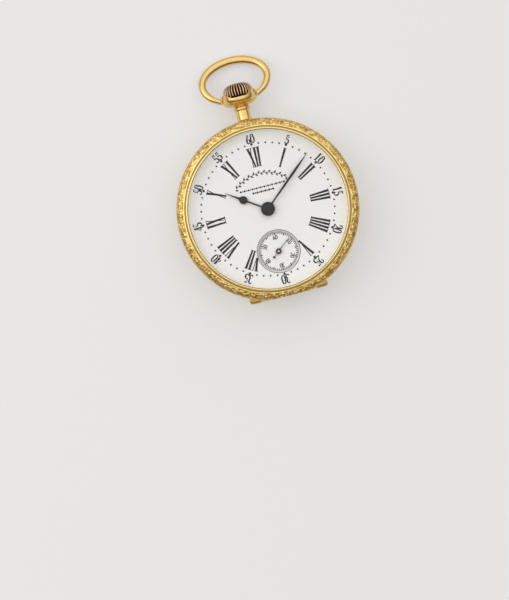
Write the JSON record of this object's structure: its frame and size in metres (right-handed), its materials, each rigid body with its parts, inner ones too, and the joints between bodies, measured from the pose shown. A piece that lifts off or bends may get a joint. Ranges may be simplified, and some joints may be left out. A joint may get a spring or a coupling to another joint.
{
  "type": "fob watch",
  "caption": "Small open-faced pocket or fob watch: chased gold case with hinged back, pendant, crown and bow, enamel dial with seconds sub-dial, and a hand-wound lever movement inside.",
  "frame": {"origin": "on the case axis, at the back cover's flat resting face", "axes": "+Z out of the dial along the case axis, +Y from the centre towards the pendant and twelve o'clock, +X towards three o'clock"},
  "size_m": [0.038, 0.0519, 0.0104],
  "materials": {
    "chased_gold": "engraved and chased gold, soft sheen",
    "polished_gold": "polished gold",
    "crown_gold": "polished gold with darkened grooves",
    "crystal_glass": "clear polished mineral glass",
    "enamel": "white vitreous enamel with black printing",
    "blackened_steel": "blackened polished steel",
    "bronzed_steel": "tempered brown steel",
    "gilt_brass": "frosted gilt brass",
    "wheel_brass": "polished brass",
    "polished_steel": "polished hardened steel",
    "blued_steel": "blued steel",
    "balance_bimetal": "bimetal rim, brass outside",
    "ruby": "red synthetic ruby",
    "copper": "plain copper"
  },
  "bodies": {
    "case": {"case_middle": "chased_gold", "bezel": "chased_gold", "crystal": "crystal_glass", "hinge_pin": "polished_gold", "pendant": "polished_gold", "pendant_sleeve": "polished_steel", "dial": "enamel", "seconds_dial": "enamel", "dial_feet": "copper", "main_plate": "gilt_brass", "barrel_bridge": "gilt_brass", "train_bridge": "gilt_brass", "balance_cock": "gilt_brass", "pallet_cock": "gilt_brass", "click_stud": "blued_steel", "click_spring": "blued_steel", "crown_wheel_screw": "blued_steel", "hairspring": "blued_steel", "hairspring_stud": "polished_steel", "jewels": "ruby", "bridge_screws": "blued_steel", "cock_screw": "blued_steel", "case_screws": "blued_steel"},
    "back": {"back_cover": "chased_gold"},
    "dust_cover": {"cuvette": "polished_gold"},
    "bow": {"bow": "polished_gold"},
    "winding_pinion": {"winding_pinion": "polished_steel"},
    "crown": {"crown": "crown_gold", "stem": "polished_steel"},
    "clutch": {"sliding_pinion": "polished_steel"},
    "setting_lever": {"setting_lever": "polished_steel"},
    "yoke": {"yoke": "polished_steel"},
    "crown_wheel": {"crown_wheel": "polished_steel"},
    "ratchet": {"ratchet_wheel": "polished_steel", "barrel_arbor": "polished_steel", "ratchet_screw": "blued_steel"},
    "click": {"click": "polished_steel"},
    "barrel": {"barrel": "wheel_brass", "barrel_cover": "wheel_brass", "mainspring": "blued_steel"},
    "center": {"center_wheel": "wheel_brass", "cannon_pinion": "polished_steel", "minute_hand": "blackened_steel"},
    "third": {"third_wheel": "wheel_brass"},
    "seconds": {"fourth_wheel": "wheel_brass", "seconds_hand": "bronzed_steel"},
    "escape": {"escape_wheel": "polished_steel"},
    "fork": {"pallet_fork": "polished_steel", "pallet_stones": "ruby"},
    "balance": {"balance_wheel": "balance_bimetal", "timing_screws": "balance_bimetal", "balance_staff": "polished_steel", "roller": "wheel_brass"},
    "regulator": {"regulator": "polished_steel"},
    "minute_wheel": {"minute_wheel": "wheel_brass"},
    "hour": {"hour_wheel": "wheel_brass", "hour_hand": "blackened_steel"},
    "setting_wheel": {"setting_wheel": "polished_steel"}
  },
  "joints": [
    {"name": "back_cover_open", "type": "hinge", "parent": "case", "child": "back", "pos_m": [0, -0.0177, 0.0027], "axis": [-1, 0, 0], "range_deg": [0, 100]},
    {"name": "dust_cover_open", "type": "hinge", "parent": "case", "child": "dust_cover", "pos_m": [0, -0.0177, 0.0027], "axis": [-1, 0, 0], "range_deg": [0, 80]},
    {"name": "bow_swing", "type": "hinge", "parent": "case", "child": "bow", "pos_m": [0, 0.0246, 0.0042], "axis": [1, 0, 0], "range_deg": [-85, 140]},
    {"name": "crown_turn", "type": "hinge", "parent": "case", "child": "winding_pinion", "pos_m": [0, 0.01279, 0.0042], "axis": [0, 1, 0], "continuous": true},
    {"name": "crown_pull", "type": "slide", "parent": "winding_pinion", "child": "crown", "axis": [0, 1, 0], "range_m": [0, 0.0008]},
    {"name": "clutch_shift", "type": "slide", "parent": "winding_pinion", "child": "clutch", "axis": [0, 1, 0], "range_m": [-0.0008, 0]},
    {"name": "setting_lever_swing", "type": "hinge", "parent": "case", "child": "setting_lever", "pos_m": [0.0029, 0.01342, 0.0066], "axis": [0, 0, -1], "range_deg": [0, 16]},
    {"name": "yoke_swing", "type": "hinge", "parent": "case", "child": "yoke", "pos_m": [-0.0034, 0.01154, 0.0066], "axis": [0, 0, -1], "range_deg": [0, 14]},
    {"name": "crown_wheel_turn", "type": "hinge", "parent": "case", "child": "crown_wheel", "pos_m": [0, 0.01019, 0.00215], "axis": [0, 0, 1], "continuous": true},
    {"name": "ratchet_turn", "type": "hinge", "parent": "case", "child": "ratchet", "pos_m": [-0.00592, 0.00511, 0.00215], "axis": [0, 0, 1], "continuous": true},
    {"name": "click_lift", "type": "hinge", "parent": "case", "child": "click", "pos_m": [0.00066, 0.00272, 0.00215], "axis": [0, 0, -1], "range_deg": [0, 8], "stiffness_Nm_per_rad": 0.00002, "springref_deg": -2.86},
    {"name": "barrel_turn", "type": "hinge", "parent": "case", "child": "barrel", "pos_m": [-0.00592, 0.00511, 0.00375], "axis": [0, 0, -1], "continuous": true},
    {"name": "minute_turn", "type": "hinge", "parent": "case", "child": "center", "pos_m": [0, 0, 0.00875], "axis": [0, 0, -1], "continuous": true},
    {"name": "third_turn", "type": "hinge", "parent": "case", "child": "third", "pos_m": [0.00308, -0.00497, 0.0041], "axis": [0, 0, -1], "continuous": true},
    {"name": "seconds_turn", "type": "hinge", "parent": "case", "child": "seconds", "pos_m": [0, -0.00904, 0.0047], "axis": [0, 0, -1], "continuous": true},
    {"name": "escape_turn", "type": "hinge", "parent": "case", "child": "escape", "pos_m": [-0.00451, -0.0108, 0.0043], "axis": [0, 0, -1], "continuous": true},
    {"name": "fork_swing", "type": "hinge", "parent": "case", "child": "fork", "pos_m": [-0.00652, -0.00864, 0.0043], "axis": [0, 0, 1], "range_deg": [-5, 5]},
    {"name": "balance_swing", "type": "hinge", "parent": "case", "child": "balance", "pos_m": [-0.0086, -0.00641, 0.00285], "axis": [0, 0, 1], "range_deg": [-270, 270]},
    {"name": "regulator_swing", "type": "hinge", "parent": "case", "child": "regulator", "pos_m": [-0.0086, -0.00641, 0.00177], "axis": [0, 0, 1], "range_deg": [-15, 15]},
    {"name": "minute_wheel_turn", "type": "hinge", "parent": "case", "child": "minute_wheel", "pos_m": [0.0022, 0.00315, 0.0066], "axis": [0, 0, -1], "continuous": true},
    {"name": "hour_turn", "type": "hinge", "parent": "case", "child": "hour", "pos_m": [0, 0, 0.00835], "axis": [0, 0, -1], "continuous": true},
    {"name": "setting_wheel_turn", "type": "hinge", "parent": "case", "child": "setting_wheel", "pos_m": [0, 0.00741, 0.0066], "axis": [0, 0, -1], "continuous": true}
  ],
  "couplings": [
    {"joint": "dust_cover_open", "follows": "back_cover_open", "ratio": 0.8},
    {"joint": "clutch_shift", "follows": "crown_pull", "ratio": -1},
    {"joint": "setting_lever_swing", "follows": "crown_pull", "rad_per_m": 344.83},
    {"joint": "yoke_swing", "follows": "crown_pull", "rad_per_m": 294.12},
    {"joint": "crown_wheel_turn", "follows": "crown_turn", "ratio": 0.53846},
    {"joint": "ratchet_turn", "follows": "crown_turn", "ratio": -0.26923},
    {"joint": "third_turn", "follows": "seconds_turn", "ratio": -0.13333},
    {"joint": "minute_turn", "follows": "seconds_turn", "ratio": 0.016667},
    {"joint": "barrel_turn", "follows": "seconds_turn", "ratio": -0.0025},
    {"joint": "escape_turn", "follows": "seconds_turn", "ratio": -10},
    {"joint": "minute_wheel_turn", "follows": "seconds_turn", "ratio": -0.0055556},
    {"joint": "hour_turn", "follows": "seconds_turn", "ratio": 0.0013889},
    {"joint": "setting_wheel_turn", "follows": "seconds_turn", "ratio": 0.0083333}
  ]
}
